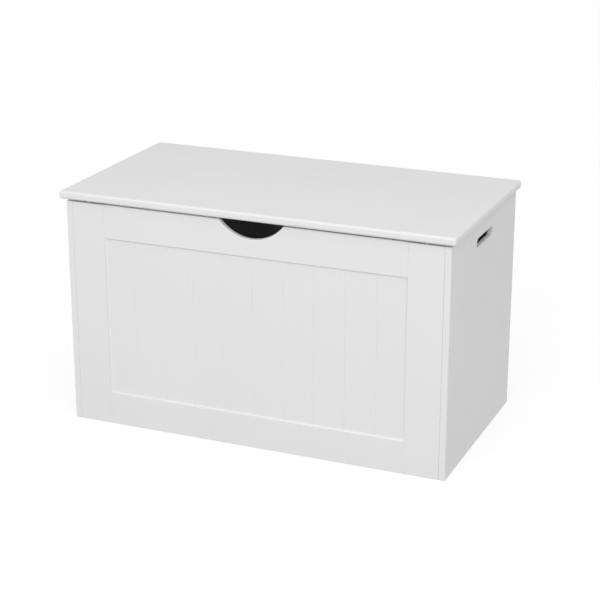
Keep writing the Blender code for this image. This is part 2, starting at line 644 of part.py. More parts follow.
for side, prefix in SIDES:
    base = add_axis(
        prefix + "_strut_base_axis", (side * STRUT_X, base_pivot_y, base_pivot_z), None, (strut_lean, 0, 0)
    )
    top = add_axis(
        prefix + "_strut_lid_axis", Vector((side * STRUT_X, lid_pivot_y, lid_pivot_z)) + to_lid, lid_axis,
        (strut_lean, 0, 0),
    )
    inner_radius = TUBE_RADIUS - TUBE_WALL
    bore_start = TUBE_START + TUBE_END_WALL
    turned(
        prefix + "_strut_tube",
        [(0, bore_start), (inner_radius, bore_start), (inner_radius, tube_end),
         (TUBE_RADIUS - TUBE_MOUTH_EDGE, tube_end), (TUBE_RADIUS, tube_end - TUBE_MOUTH_EDGE),
         (TUBE_RADIUS, bore_start), (TUBE_RADIUS - TUBE_END_WALL, TUBE_START), (0, TUBE_START)],
        False, BLACK_METAL, parent=base,
    )
    guide_outer = inner_radius - FIT
    guide_inner = ROD_RADIUS + PIVOT_CLEARANCE
    guide_high = tube_end - GUIDE_SETBACK
    guide_low = guide_high - GUIDE_LENGTH
    turned(
        prefix + "_strut_rod_guide",
        [(guide_inner, guide_high), (guide_outer, guide_high), (guide_outer, guide_low),
         (guide_inner, guide_low)],
        True, BLACK_PLASTIC, parent=base,
    )
    strut_eye(prefix + "_strut_tube_eye", TUBE_START - FIT, BLACK_PLASTIC, base)

    rod_end = -EYE_NECK_LENGTH - FIT
    rod_start = ROD_START - strut_length
    turned(
        prefix + "_strut_rod",
        [(0, rod_end), (ROD_RADIUS, rod_end), (ROD_RADIUS, rod_start + ROD_END_EDGE),
         (ROD_RADIUS - ROD_END_EDGE, rod_start), (0, rod_start)],
        False, CHROME, parent=top,
    )
    piston_low = rod_start + PISTON_SETBACK
    piston_high = piston_low + PISTON_LENGTH
    piston_inner = ROD_RADIUS + FIT
    piston_outer = inner_radius - PISTON_CLEARANCE
    turned(
        prefix + "_strut_piston",
        [(piston_inner, piston_high), (piston_outer, piston_high), (piston_outer, piston_low),
         (piston_inner, piston_low)],
        True, BLACK_PLASTIC, parent=top,
    )
    strut_eye(prefix + "_strut_rod_eye", -EYE_NECK_LENGTH, BLACK_PLASTIC, top)

    plate_face = INSIDE_HALF - FIT
    inner_face = plate_face - BRACKET_THICKNESS
    edge_a = side * plate_face
    edge_b = side * inner_face
    bracket = box(
        prefix + "_strut_side_bracket",
        (min(edge_a, edge_b), base_pivot_y - SIDE_BRACKET_HALF_WIDTH,
         base_pivot_z - SIDE_BRACKET_HALF_HEIGHT),
        (max(edge_a, edge_b), base_pivot_y + SIDE_BRACKET_HALF_WIDTH,
         base_pivot_z + SIDE_BRACKET_HALF_HEIGHT),
        ZINC,
    )
    round_upright_corners(bracket.data, SIDE_BRACKET_CORNER, 4, 0)
    base_pivot = (base_pivot_y, base_pivot_z)
    pivot_pin(bracket, side, base_pivot, inner_face + BRACKET_OVERLAP, Vector((0, 0, 0)))
    for place, offset in (("upper", 1), ("lower", -1)):
        z = base_pivot_z + offset * BRACKET_SCREW_OFFSET
        point = Vector((side * inner_face, base_pivot_y, z))
        facing = "-X" if side > 0 else "X"
        clearance = screw_clearance(point, facing, SIDE_SCREW_LENGTH)
        combine(bracket, clearance)
        combine(side_panels[side], clearance)
        screw(prefix + "_strut_side_screw_" + place, point, facing, SIDE_SCREW_LENGTH, ZINC)

    plate_top = LID_BOTTOM - FIT
    plate_low = plate_top - BRACKET_THICKNESS
    tab_a = side * LID_BRACKET_TAB_X
    tab_b = side * (LID_BRACKET_TAB_X + BRACKET_THICKNESS)
    inner_x = side * LID_BRACKET_INNER_X
    lid_bracket = box(
        prefix + "_strut_lid_bracket",
        Vector((min(inner_x, tab_b), lid_pivot_y - LID_BRACKET_HALF_LENGTH, plate_low)) + to_lid,
        Vector((max(inner_x, tab_b), lid_pivot_y + LID_BRACKET_HALF_LENGTH, plate_top)) + to_lid,
        ZINC, lid_axis,
    )
    round_upright_corners(lid_bracket.data, LID_BRACKET_CORNER, 3, 2)
    tab = box(
        "bracket_tab",
        Vector((min(tab_a, tab_b), lid_pivot_y - EYE_RADIUS, lid_pivot_z - EYE_RADIUS)) + to_lid,
        Vector((max(tab_a, tab_b), lid_pivot_y + EYE_RADIUS, plate_top - BRACKET_OVERLAP)) + to_lid,
        None, lid_axis,
    )
    combine(lid_bracket, tab, "UNION")
    lid_pivot = (lid_pivot_y, lid_pivot_z)
    pivot_pin(lid_bracket, side, lid_pivot, LID_BRACKET_TAB_X + JOIN_OVERLAP, to_lid)
    for place, offset in (("front", -1), ("rear", 1)):
        y = lid_pivot_y + offset * BRACKET_SCREW_OFFSET
        x = side * LID_BRACKET_SCREW_X
        point = Vector((x, y, plate_low))
        clearance = screw_clearance(point, "-Z", LID_SCREW_LENGTH)
        combine(lid_bracket, clearance)
        combine(lid, clearance)
        screw(
            prefix + "_strut_lid_screw_" + place, point + to_lid, "-Z", LID_SCREW_LENGTH, ZINC, lid_axis
        )
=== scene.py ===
"""The looks of a white wooden toy box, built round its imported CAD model.

The boards, hinges and gas struts are remade here with finer edges and procedural materials. Every size
and place comes from the frame, or from the named values below. Metres, +Z up, the front faces -Y.
"""

import json
import math

import bmesh
import bpy
from mathutils import Matrix, Vector


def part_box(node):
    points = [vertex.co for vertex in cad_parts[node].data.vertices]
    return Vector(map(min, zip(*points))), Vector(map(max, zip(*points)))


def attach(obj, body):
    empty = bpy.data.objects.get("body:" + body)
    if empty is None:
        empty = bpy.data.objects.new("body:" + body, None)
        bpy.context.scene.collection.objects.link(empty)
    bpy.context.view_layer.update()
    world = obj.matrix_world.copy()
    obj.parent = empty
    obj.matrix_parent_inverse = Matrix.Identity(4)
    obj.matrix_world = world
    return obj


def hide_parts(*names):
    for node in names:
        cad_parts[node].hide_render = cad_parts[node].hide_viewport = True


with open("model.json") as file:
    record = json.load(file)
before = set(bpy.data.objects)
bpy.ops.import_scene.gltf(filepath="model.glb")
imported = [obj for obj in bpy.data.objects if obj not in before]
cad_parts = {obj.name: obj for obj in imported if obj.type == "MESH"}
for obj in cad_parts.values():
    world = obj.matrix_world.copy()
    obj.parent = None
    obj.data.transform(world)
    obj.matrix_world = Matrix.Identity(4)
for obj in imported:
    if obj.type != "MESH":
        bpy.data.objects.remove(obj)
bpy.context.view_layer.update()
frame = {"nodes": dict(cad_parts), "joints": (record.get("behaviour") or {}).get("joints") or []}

MM = 0.001
SIDES = ((-1, "left"), (1, "right"))
AXES = {"X": Vector((1, 0, 0)), "Y": Vector((0, 1, 0)), "Z": Vector((0, 0, 1))}

# Camera, at the viewing angle of the picture
CAMERA_AZIMUTH = math.radians(22.8)
CAMERA_ELEVATION = math.radians(19.4)
CAMERA_DISTANCE = 3.17
CAMERA_LENS = 100.6
SENSOR_WIDTH = 36
CAMERA_AIM = Vector((0.0124, 0.0052, 0.2255))

# Light: a white tent, brighter overhead, and two low softboxes as (name, azimuth, power): one square to the
# front and one towards the right front corner
TENT_STRENGTH = 0.6
TENT_TILT = (0.09, -0.14, 0.345)
SOFTBOXES = (("front_softbox", math.radians(0), 15.0), ("corner_softbox", math.radians(40), 6.4))
SOFTBOX_ELEVATION = math.radians(30)
SOFTBOX_DISTANCE = 2.6
SOFTBOX_SIZE = (1.4, 1.1)
FLOOR_HALF_WIDTH = 20
FLOOR_TOP = -0.2 * MM
FLOOR_BOTTOM = -20 * MM
FLOOR_GLOW = 0.685

# How far a cutter runs past the piece it cuts
CUT_OVERRUN = 5 * MM

# Edges nearer than this to a panel's ends are its own, and above this cosine an edge is upright
EDGE_MARGIN = 5 * MM
UPRIGHT = 0.999

# Edge roundings
LID_CORNER = 6 * MM
LID_ROUND = 4.6 * MM
BOARD_ROUND = 1.1 * MM
JOINT_ROUND = 0.35 * MM
SEAM_ROUND = 1 * MM
NOTCH_ROUND = 3 * MM
SLOT_ROUND = 3 * MM

# Front frame and panel
OPENING_HALF = 293 * MM
OPENING_LOW = 62 * MM
OPENING_HIGH = 367 * MM
RECESS_DEPTH = 3.5 * MM
QUIRK_DEPTH = 1.8 * MM
COVE_RADIUS = 6 * MM
COVE_DEPTH = RECESS_DEPTH - QUIRK_DEPTH
COVE_WIDTH = math.sqrt(COVE_RADIUS ** 2 - (COVE_RADIUS - COVE_DEPTH) ** 2)
COVE_STEPS = 10
COVE_OVERLAP = 1 * MM
REBATE_WIDTH = 8 * MM
REBATE_CLEARANCE = 2 * MM
JOINT_GAP = 0.05 * MM
NOTCH_RADIUS = 77.5 * MM
NOTCH_DEPTH = 31 * MM
NOTCH_FILLET = 8 * MM
NOTCH_STEPS = 48
NOTCH_FILLET_STEPS = 8
NOTCH_REACH = 90 * MM
GROOVE_COUNT = 9
GROOVE_PITCH = 59 * MM
GROOVE_HALF_WIDTH = 1.5 * MM
GROOVE_DEPTH = 0.8 * MM
GROOVE_SHOULDER_ROUND = 0.6 * MM
GROOVE_BOTTOM_ROUND = 0.3 * MM

# Hand slots
SLOT_LENGTH = 96 * MM
SLOT_HEIGHT = 16 * MM
SLOT_CORNER = 7.8 * MM
SLOT_CENTRE_Z = 393 * MM

# Hardware
KNUCKLES = 5
KNUCKLE_GAP = 0.35 * MM
KNUCKLE_RADIUS = 2.2 * MM
KNUCKLE_CLEARANCE = 0.4 * MM
KNUCKLE_EDGE = 0.25 * MM
PIN_RADIUS = 1.1 * MM
PIN_BORE = 1.4 * MM
PIN_HEAD_RADIUS = 1.9 * MM
PIN_HEAD_LENGTH = 1 * MM
LEAF_THICKNESS = 1 * MM
LEAF_CORNER = 3 * MM
HEAD_RADIUS = 2.9 * MM
HEAD_DEPTH = 1.5 * MM
SHANK_RADIUS = 1.4 * MM
HOLE_GAP = 0.15 * MM
HOLE_DEPTH = 4 * MM
HEAD_ROOM = 1 * MM
HEAD_RIM = 0.2 * MM
SCREW_TIP = 2.5 * MM
CROSS_HALF_LENGTH = 1.7 * MM
CROSS_HALF_WIDTH = 0.35 * MM
CROSS_DEPTH = 0.9 * MM
CROSS_TURN = math.radians(25)
TUBE_RADIUS = 7.5 * MM
TUBE_WALL = 1 * MM
TUBE_START = 12 * MM
TUBE_END_MARGIN = 15 * MM
TUBE_END_WALL = 1.5 * MM
TUBE_MOUTH_EDGE = 0.2 * MM
CRIMP_DEPTH = 0.5 * MM
CRIMP_START = 2 * MM
CRIMP_MIDDLE = 3.2 * MM
CRIMP_END = 4.4 * MM
GUIDE_CLEARANCE = 0.2 * MM
GUIDE_SETBACK = 0.5 * MM
GUIDE_DEPTH = 11 * MM
ROD_START = 16 * MM
ROD_RADIUS = 3 * MM
EYE_RADIUS = 6 * MM
EYE_WIDTH = 6 * MM
EYE_NECK = 10.8 * MM
EYE_NECK_START = 5.3 * MM
EYE_NECK_RADIUS = 4 * MM
EYE_NECK_CLEARANCE = 0.3 * MM
PIVOT_CLEARANCE = 0.3 * MM
PIVOT_HEAD_RADIUS = 4.6 * MM
PIVOT_HEAD_LENGTH = 1.6 * MM
PIVOT_OVERRUN = 0.6 * MM
BRACKET_THICKNESS = 2 * MM
BRACKET_CORNER = 4 * MM
BRACKET_BEND = 2.4 * MM
BRACKET_EDGE = 0.3 * MM
CAP_RADIUS = 7 * MM
CAP_HEIGHT = 1.2 * MM
CAP_RIM = 0.2 * MM
CAP_GAP = 0.02 * MM
CAP_INSET = 24 * MM
CAP_LEVELS = (("low", 75 * MM), ("high", 350 * MM))
BUMPER_DOME = 2.2 * MM

PAINT_TONE = 0.785
NOISE_LOW = 0.3
NOISE_HIGH = 0.7


# ---------------------------------------------------------------- materials


class Look:
    """A material under construction: its node tree and its Principled shader."""

    def __init__(self, name):
        self.material = bpy.data.materials.new(name)
        self.material.use_nodes = True
        self.tree = self.material.node_tree
        self.shader = self.tree.nodes["Principled BSDF"]
        coords = self.tree.nodes.new("ShaderNodeTexCoord")
        self.place = coords.outputs["Object"]
        self.normal = None

    def add(self, kind, **inputs):
        """A node with some of its inputs set or linked."""
        node = self.tree.nodes.new(kind)
        for key, value in inputs.items():
            self.put(node, key.replace("_", " "), value)
        return node

    def put(self, node, key, value):
        """Set or link one input."""
        if isinstance(value, bpy.types.NodeSocket):
            self.tree.links.new(value, node.inputs[key])
        else:
            node.inputs[key].default_value = value

    def stretched(self, scale):
        """The object's own coordinates, scaled along each axis."""
        mapping = self.add("ShaderNodeMapping", Vector=self.place)
        mapping.inputs["Scale"].default_value = scale
        return mapping.outputs["Vector"]

    def noise(self, scale, detail=2.0, roughness=0.5, place=None):
        """A noise value from 0 to 1."""
        node = self.add("ShaderNodeTexNoise", Vector=place or self.place)
        node.inputs["Scale"].default_value = scale
        node.inputs["Detail"].default_value = detail
        node.inputs["Roughness"].default_value = roughness
        return node.outputs["Fac"]

    def spread(self, value, low, high):
        """Map the middle range of a noise value to another range."""
        node = self.add("ShaderNodeMapRange", Value=value)
        node.inputs["From Min"].default_value = NOISE_LOW
        node.inputs["From Max"].default_value = NOISE_HIGH
        node.inputs["To Min"].default_value = low
        node.inputs["To Max"].default_value = high
        return node.outputs["Result"]

    def blend(self, amount, first, second):
        """Mix two colours."""
        node = self.tree.nodes.new("ShaderNodeMix")
        node.data_type = "RGBA"
        self.put(node, 0, amount)
        for socket, colour in ((6, first), (7, second)):
            if isinstance(colour, bpy.types.NodeSocket):
                self.tree.links.new(colour, node.inputs[socket])
            else:
                node.inputs[socket].default_value = (*colour, 1.0)
        return node.outputs[2]

    def bump(self, height, strength, distance):
        """Stack one more layer of relief on the surface."""
        node = self.add("ShaderNodeBump", Height=height)
        node.inputs["Strength"].default_value = strength
        node.inputs["Distance"].default_value = distance
        if self.normal:
            self.put(node, "Normal", self.normal)
        self.normal = node.outputs["Normal"]

    def done(self, colour, roughness, metallic=0.0, **uniform):
        """Join everything to the shader."""
        self.put(self.shader, "Base Color", colour)
        self.put(self.shader, "Roughness", roughness)
        self.shader.inputs["Metallic"].default_value = metallic
        for key, value in uniform.items():
            self.shader.inputs[key.replace("_", " ")].default_value = value
        if self.normal:
            self.put(self.shader, "Normal", self.normal)
        return self.material


def grey(value):
    """A neutral colour."""
    return (value, value, value)


def white_paint(name, tone=PAINT_TONE):
    """Sprayed satin white paint on fibreboard: orange peel, a slight cloudiness and uneven sheen."""
    look = Look(name)
    peel = look.noise(620, 2.0)
    mist = look.noise(1900, 1.0)
    wave = look.noise(45, 3.0, 0.45)
    cloud = look.noise(4.5, 3.0, 0.55)
    colour = look.blend(look.spread(cloud, 0.0, 1.0), grey(tone * 0.985), grey(tone * 1.012))
    colour = look.blend(look.spread(mist, 0.0, 0.6), colour, grey(tone * 0.975))
    sheen = look.spread(wave, 0.44, 0.54)
    look.bump(wave, 0.12, 0.25 * MM)
    look.bump(peel, 0.22, 0.05 * MM)
    return look.done(colour, sheen, Specular_IOR_Level=0.36)


def raw_pine(name, along):
    """Planed pine with its grain along one axis."""
    look = Look(name)
    scale = [14.0, 14.0, 14.0]
    scale["XYZ".index(along)] = 0.9
    place = look.stretched(scale)
    rings = look.add("ShaderNodeTexWave", Vector=place)
    rings.wave_type = "RINGS"
    rings.rings_direction = along
    rings.inputs["Scale"].default_value = 2.6
    rings.inputs["Distortion"].default_value = 3.5
    rings.inputs["Detail"].default_value = 3.0
    fibre_scale = [900.0, 900.0, 900.0]
    fibre_scale["XYZ".index(along)] = 12.0
    fibre = look.noise(1.0, 3.0, 0.6, look.stretched(fibre_scale))
    colour = look.blend(rings.outputs["Fac"], (0.70, 0.52, 0.31), (0.52, 0.33, 0.16))
    colour = look.blend(look.spread(fibre, 0.0, 0.45), colour, (0.42, 0.26, 0.13))
    look.bump(fibre, 0.35, 0.08 * MM)
    return look.done(colour, look.spread(fibre, 0.55, 0.75), Specular_IOR_Level=0.35)


def plated_steel(name, colour, along, roughness):
    """Plated sheet steel, brushed along one axis."""
    look = Look(name)
    scale = [2600.0, 2600.0, 2600.0]
    scale["XYZ".index(along)] = 60.0
    brush = look.noise(1.0, 2.0, 0.6, look.stretched(scale))
    cloud = look.noise(130, 3.0)
    tint = look.blend(look.spread(cloud, 0.0, 1.0), tuple(c * 0.9 for c in colour), colour)
    look.bump(brush, 0.2, 0.02 * MM)
    return look.done(tint, look.spread(brush, roughness - 0.07, roughness + 0.1), 1.0)


def black_enamel(name):
    """Gloss black enamel on the strut's tube."""
    look = Look(name)
    peel = look.noise(800, 2.0)
    dust = look.noise(260, 3.0)
    colour = look.blend(look.spread(dust, 0.0, 1.0), grey(0.011), grey(0.022))
    look.bump(peel, 0.15, 0.03 * MM)
    return look.done(colour, look.spread(dust, 0.2, 0.32), 0.0, Coat_Weight=0.5, Coat_Roughness=0.12)


def chrome(name):
    """A polished piston rod with fine turning marks."""
    look = Look(name)
    marks = look.noise(1800, 2.0)
    haze = look.noise(90, 2.0)
    colour = look.blend(look.spread(haze, 0.0, 1.0), (0.7, 0.71, 0.73), (0.82, 0.83, 0.84))
    look.bump(marks, 0.05, 0.01 * MM)
    return look.done(colour, look.spread(haze, 0.05, 0.12), 1.0)


def moulded(name, low, high, grain=1400, roughness=0.5):
    """Moulded plastic or rubber with a fine spark-eroded grain."""
    look = Look(name)
    grit = look.noise(grain, 2.0, 0.65)
    cloud = look.noise(70, 2.0)
    colour = look.blend(look.spread(cloud, 0.0, 1.0), grey(low), grey(high))
    look.bump(grit, 0.3, 0.05 * MM)
    return look.done(colour, look.spread(grit, roughness - 0.08, roughness + 0.12), Specular_IOR_Level=0.4)


def studio_floor(name):
    """A pale, slightly uneven paper floor that glows a little, so it stays near white."""
    look = Look(name)
    tooth = look.noise(160, 3.0)
    colour = look.blend(look.spread(tooth, 0.0, 1.0), grey(0.34), grey(0.36))
    look.bump(tooth, 0.05, 0.1 * MM)
    return look.done(
        colour, 0.85, Specular_IOR_Level=0.1, Emission_Color=(1, 1, 1, 1), Emission_Strength=FLOOR_GLOW
    )


LOOKS = {
    "paint": white_paint("white_paint"),
    # A copy of the white paint 2% darker, for the pieces inside the box: painted shade for the box's dark
    # inside, not a different paint
    "shaded_inside_paint": white_paint("white_paint_inside_painted_shade", PAINT_TONE * 0.98),
    "pine_x": raw_pine("pine_along_x", "X"),
    "pine_y": raw_pine("pine_along_y", "Y"),
    "nickel": plated_steel("nickel_plate", (0.62, 0.60, 0.57), "X", 0.30),
    "zinc": plated_steel("zinc_plate", (0.66, 0.67, 0.68), "Z", 0.34),
    "enamel": black_enamel("black_enamel"),
    "chrome": chrome("chrome_rod"),
    "plastic": moulded("black_plastic", 0.016, 0.03),
    "rubber": moulded("grey_rubber", 0.42, 0.5, 900, 0.7),
    "cap": moulded("white_cap_plastic", 0.62, 0.68, 1100, 0.42),
}


# ---------------------------------------------------------------- shapes


def fillet(points, radii, steps=6):
    """A closed outline with each corner rounded to its own radius; 0 keeps the corner."""
    rounded = []
    count = len(points)
    for i, point in enumerate(points):
        radius = radii[i] if isinstance(radii, (list, tuple)) else radii
        here = Vector(point)
        if radius <= 0:
            rounded.append(tuple(here))
            continue
        to_last = (Vector(points[i - 1]) - here).normalized()
        to_next = (Vector(points[(i + 1) % count]) - here).normalized()
        half = to_last.angle(to_next) / 2
        reach = radius / math.tan(half)
        centre = here + (to_last + to_next).normalized() * (radius / math.sin(half))
        start = here + to_last * reach - centre
        end = here + to_next * reach - centre
        turn = math.atan2(start.x * end.y - start.y * end.x, start.dot(end))
        for k in range(steps + 1):
            angle = turn * k / steps
            spoke = Vector((
                start.x * math.cos(angle) - start.y * math.sin(angle),
                start.x * math.sin(angle) + start.y * math.cos(angle),
            ))
            rounded.append(tuple(centre + spoke))
    return rounded


def arc(centre, radius, start, turn, steps):
    """Points along an arc, both ends included."""
    points = []
    for k in range(steps + 1):
        angle = start + turn * k / steps
        points.append((centre[0] + radius * math.cos(angle), centre[1] + radius * math.sin(angle)))
    return points


def rectangle(low, high):
    """The four corners of a rectangle, anticlockwise."""
    return [(low[0], low[1]), (high[0], low[1]), (high[0], high[1]), (low[0], high[1])]


def new_object(name, shape):
    """Make an object of a bmesh."""
    bmesh.ops.recalc_face_normals(shape, faces=shape.faces)
    mesh = bpy.data.meshes.new(name)
    shape.to_mesh(mesh)
    shape.free()
    thing = bpy.data.objects.new(name, mesh)
    bpy.context.scene.collection.objects.link(thing)
    return thing


def prism(name, outline, axis, low, high):
    """A flat outline run along an axis. The outline's two numbers are the other two axes, in order."""
    shape = bmesh.new()
    u, v = [AXES[letter] for letter in "XYZ" if letter != axis]
    verts = [shape.verts.new(u * a + v * b + AXES[axis] * low) for a, b in outline]
    face = shape.faces.new(verts)
    grown = bmesh.ops.extrude_face_region(shape, geom=[face])
    moved = [item for item in grown["geom"] if isinstance(item, bmesh.types.BMVert)]
    bmesh.ops.translate(shape, vec=AXES[axis] * (high - low), verts=moved)
    return new_object(name, shape)


def block(name, low, high):
    """A box between two corners."""
    return prism(name, rectangle(low, high), "Z", low[2], high[2])


def turned(name, profile, place, steps=48):
    """A turned solid: a closed (radius, height) profile swept about its own Z axis, then put in place."""
    shape = bmesh.new()
    verts = [shape.verts.new((radius, 0, height)) for radius, height in profile]
    edges = [shape.edges.new((verts[i], verts[i + 1])) for i in range(len(verts) - 1)]
    if min(radius for radius, _ in profile) > 0:
        edges.append(shape.edges.new((verts[-1], verts[0])))
    bmesh.ops.spin(
        shape, geom=verts + edges, cent=(0, 0, 0), axis=(0, 0, 1), angle=2 * math.pi, steps=steps,
        use_merge=True,
    )
    bmesh.ops.remove_doubles(shape, verts=shape.verts, dist=0.002 * MM)
    bmesh.ops.transform(shape, matrix=place, verts=shape.verts)
    return new_object(name, shape)


def axis_place(point, axis, sign=1):
    """A matrix that turns a piece's Z axis to an axis and moves it to a point."""
    aim = AXES[axis] * sign
    return Matrix.Translation(point) @ aim.to_track_quat("Z", "Y").to_matrix().to_4x4()


def rod_profile(radius, low, high, edge, steps=4):
    """The profile of a plain cylinder with rounded rims, on the axis at both ends."""
    return fillet([(0, high), (radius, high), (radius, low), (0, low)], [0, edge, edge, 0], steps)


def combine(target, tool, operation="DIFFERENCE"):
    """Cut or join two pieces for good, and drop the tool."""
    boolean = target.modifiers.new("combine", "BOOLEAN")
    boolean.operation = operation
    boolean.object = tool
    boolean.solver = "EXACT"
    bake(target)
    bpy.data.objects.remove(tool, do_unlink=True)


def bake(thing):
    """Replace a piece's mesh with what its modifiers make of it."""
    bpy.context.view_layer.update()
    graph = bpy.context.evaluated_depsgraph_get()
    mesh = bpy.data.meshes.new_from_object(thing.evaluated_get(graph))
    thing.modifiers.clear()
    thing.data = mesh


def soften(thing, radius, segments=4, angle=50):
    """Round a piece's edges: one radius for every sharp edge, or a rule (middle, direction) -> radius."""
    bevel = thing.modifiers.new("round_edges", "BEVEL")
    bevel.segments = segments
    bevel.use_clamp_overlap = False
    if callable(radius):
        shape = bmesh.new()
        shape.from_mesh(thing.data)
        weights = shape.edges.layers.float.new("bevel_weight_edge")
        radii = {}
        for edge in shape.edges:
            if len(edge.link_faces) == 2 and edge.calc_face_angle(0) > math.radians(angle):
                start, end = [vert.co for vert in edge.verts]
                radii[edge] = radius((start + end) / 2, (end - start).normalized())
        largest = max(radii.values())
        for edge, edge_radius in radii.items():
            edge[weights] = edge_radius / largest
        shape.to_mesh(thing.data)
        shape.free()
        bevel.limit_method = "WEIGHT"
        bevel.width = largest
    else:
        bevel.limit_method = "ANGLE"
        bevel.angle_limit = math.radians(angle)
        bevel.width = radius
    bake(thing)


def finished(thing, look, body, *stands_for):
    """Shade a piece, give it its material and its body, and let it stand for CAD nodes."""
    thing.data.materials.clear()
    thing.data.materials.append(LOOKS[look])
    thing.data.shade_smooth()
    thing.data.set_sharp_from_angle(angle=math.radians(38))
    normals = thing.modifiers.new("weighted_normals", "WEIGHTED_NORMAL")
    normals.keep_sharp = True
    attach(thing, body)
    if stands_for:
        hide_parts(*stands_for)


# ---------------------------------------------------------------- boards


def make_lid():
    """The lid: rounded corners in plan and a full round-over on its edges."""
    low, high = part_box("lid")
    outline = fillet(rectangle(low, high), LID_CORNER, 8)
    lid = prism("lid_board", outline, "Z", low.z, high.z)
    soften(lid, LID_ROUND, 7, 60)
    finished(lid, "paint", "lid", "lid")


def make_side_panels():
    """The side panels with their hand slots."""
    for side, prefix in SIDES:
        node = prefix + "_side_panel"
        low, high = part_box(node)
        panel = block(node + "_board", low, high)
        centre_y = (low.y + high.y) / 2
        slot = prism(
            "slot",
            fillet(rectangle(
                (centre_y - SLOT_LENGTH / 2, SLOT_CENTRE_Z - SLOT_HEIGHT / 2),
                (centre_y + SLOT_LENGTH / 2, SLOT_CENTRE_Z + SLOT_HEIGHT / 2),
            ), SLOT_CORNER, 12),
            "X", low.x - CUT_OVERRUN, high.x + CUT_OVERRUN,
        )
        combine(panel, slot)
        outer_x = high.x if side > 0 else low.x

        def radius(middle, direction):
            in_slot = low.z + EDGE_MARGIN < middle.z < high.z - EDGE_MARGIN and abs(direction.z) < UPRIGHT
            in_slot = in_slot or abs(middle.z - SLOT_CENTRE_Z) < SLOT_HEIGHT / 2
            if in_slot:
                return SLOT_ROUND
            if abs(middle.y - low.y) < MM and abs(middle.x - outer_x) > MM:
                return SEAM_ROUND
            return BOARD_ROUND

        soften(panel, radius)
        finished(panel, "paint", "carcass", node)


def notch_outline(rim, top):
    """The finger notch: a shallow arc with its two top corners rounded over."""
    centre_z = rim - NOTCH_DEPTH + NOTCH_RADIUS
    rise = centre_z - rim + NOTCH_FILLET
    fillet_x = math.sqrt((NOTCH_RADIUS + NOTCH_FILLET) ** 2 - rise ** 2)
    lean = math.atan2(rise, fillet_x)
    fillet_z = rim - NOTCH_FILLET
    quarter = math.pi / 2
    points = [(-fillet_x, top)]
    points += arc((-fillet_x, fillet_z), NOTCH_FILLET, quarter, lean - quarter, NOTCH_FILLET_STEPS)
    points += arc((0, centre_z), NOTCH_RADIUS, math.pi + lean, math.pi - 2 * lean, NOTCH_STEPS)[1:-1]
    points += arc((fillet_x, fillet_z), NOTCH_FILLET, math.pi - lean, lean - quarter, NOTCH_FILLET_STEPS)
    points.append((fillet_x, top))
    return points


def cove_strip(run_low, run_high, place):
    """The hollow moulding along one edge of the opening, mitred at both ends.

    Its profile steps back from the frame's front edge, then sweeps down to the panel, where it ends flush.
    The place is a rule (distance along the run, distance into the opening, depth from the front) -> position.
    """
    sweep = math.asin(COVE_WIDTH / COVE_RADIUS)
    profile = [(-COVE_OVERLAP, QUIRK_DEPTH + COVE_OVERLAP), (0, QUIRK_DEPTH)]
    for k in range(1, COVE_STEPS + 1):
        angle = sweep * (1 - k / COVE_STEPS)
        profile.append((
            COVE_WIDTH - COVE_RADIUS * math.sin(angle), RECESS_DEPTH - COVE_RADIUS * (1 - math.cos(angle))
        ))
    back = RECESS_DEPTH + COVE_OVERLAP
    profile += [(COVE_WIDTH, back), (-COVE_OVERLAP, back)]
    shape = bmesh.new()
    ends = []
    for run_end, sign in ((run_low, 1), (run_high, -1)):
        ends.append([
            shape.verts.new(place(run_end + sign * max(inset, 0), inset, depth)) for inset, depth in profile
        ])
        shape.faces.new(ends[-1])
    for k in range(len(profile)):
        shape.faces.new((ends[0][k - 1], ends[0][k], ends[1][k], ends[1][k - 1]))
    return new_object("cove", shape)


